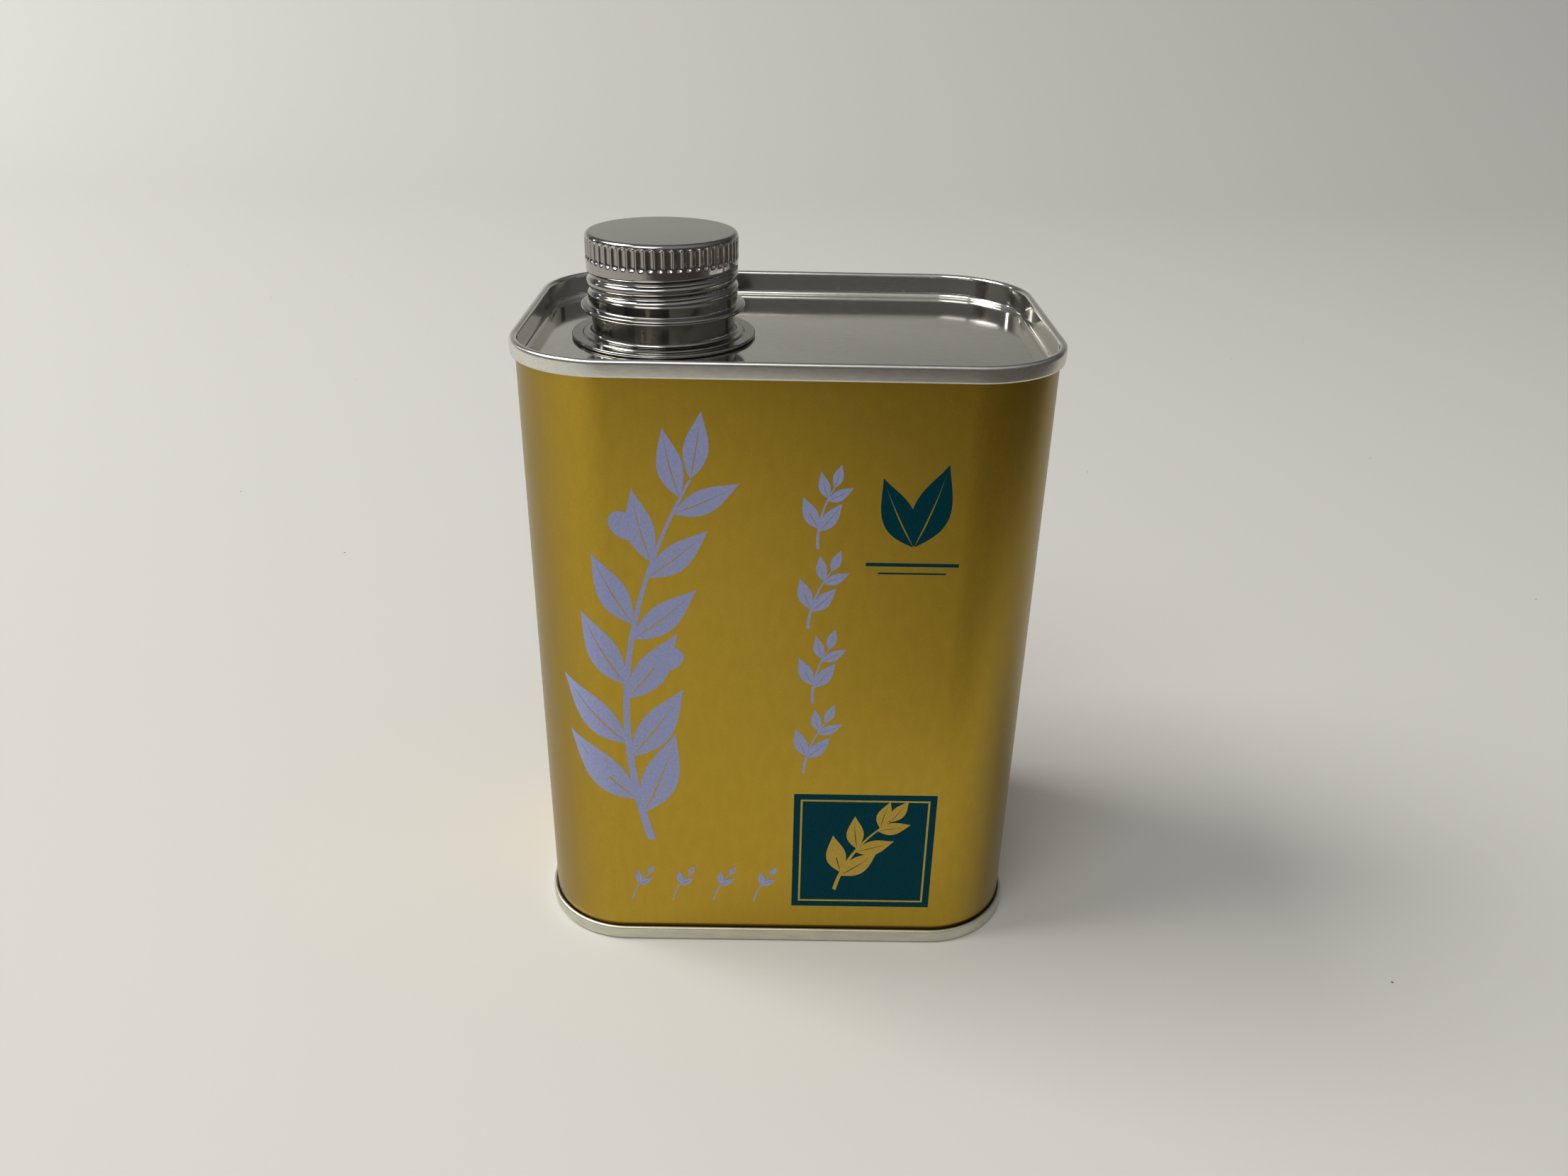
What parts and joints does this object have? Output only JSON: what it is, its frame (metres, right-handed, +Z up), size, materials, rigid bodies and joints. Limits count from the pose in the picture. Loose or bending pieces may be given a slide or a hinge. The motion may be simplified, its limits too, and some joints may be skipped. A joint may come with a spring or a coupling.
{
  "type": "olive oil tin with spout",
  "caption": "Seamed rectangular tinplate oil can with rounded corners, a raised screw neck with a pour insert and a knurled tinplate cap.",
  "frame": {"origin": "centre of the foot, on the surface it stands on", "axes": "+X to the right of someone facing the wide front, +Y to the back, +Z up; the spout is on the left"},
  "size_m": [0.0886, 0.0616, 0.1251],
  "materials": {
    "gold_lacquer": "satin gold lacquer on tinplate",
    "tinplate": "satin tinplate",
    "cap_tinplate": "polished tinplate",
    "compound": "matt lining compound",
    "gasket_rubber": "matt",
    "insert_plastic": "soft polyethylene",
    "liner_foam": "fine foam"
  },
  "bodies": {
    "can": {"can_body": "gold_lacquer", "top_end": "tinplate", "bottom_end": "tinplate", "top_seam_compound": "compound", "bottom_seam_compound": "compound", "spout_neck": "tinplate", "neck_gasket": "gasket_rubber", "pour_insert": "insert_plastic"},
    "liner": {"cap_liner": "liner_foam"},
    "cap": {"screw_cap": "cap_tinplate"}
  },
  "joints": [
    {"name": "cap_rise", "type": "slide", "parent": "can", "child": "liner", "axis": [0, 0, 1], "range_m": [0, 0.00495]},
    {"name": "cap_turn", "type": "hinge", "parent": "liner", "child": "cap", "pos_m": [-0.0212, 0, 0.119], "axis": [0, 0, 1], "range_deg": [0, 810]}
  ],
  "couplings": [
    {"joint": "cap_rise", "follows": "cap_turn", "m_per_rad": 0.00035014}
  ]
}
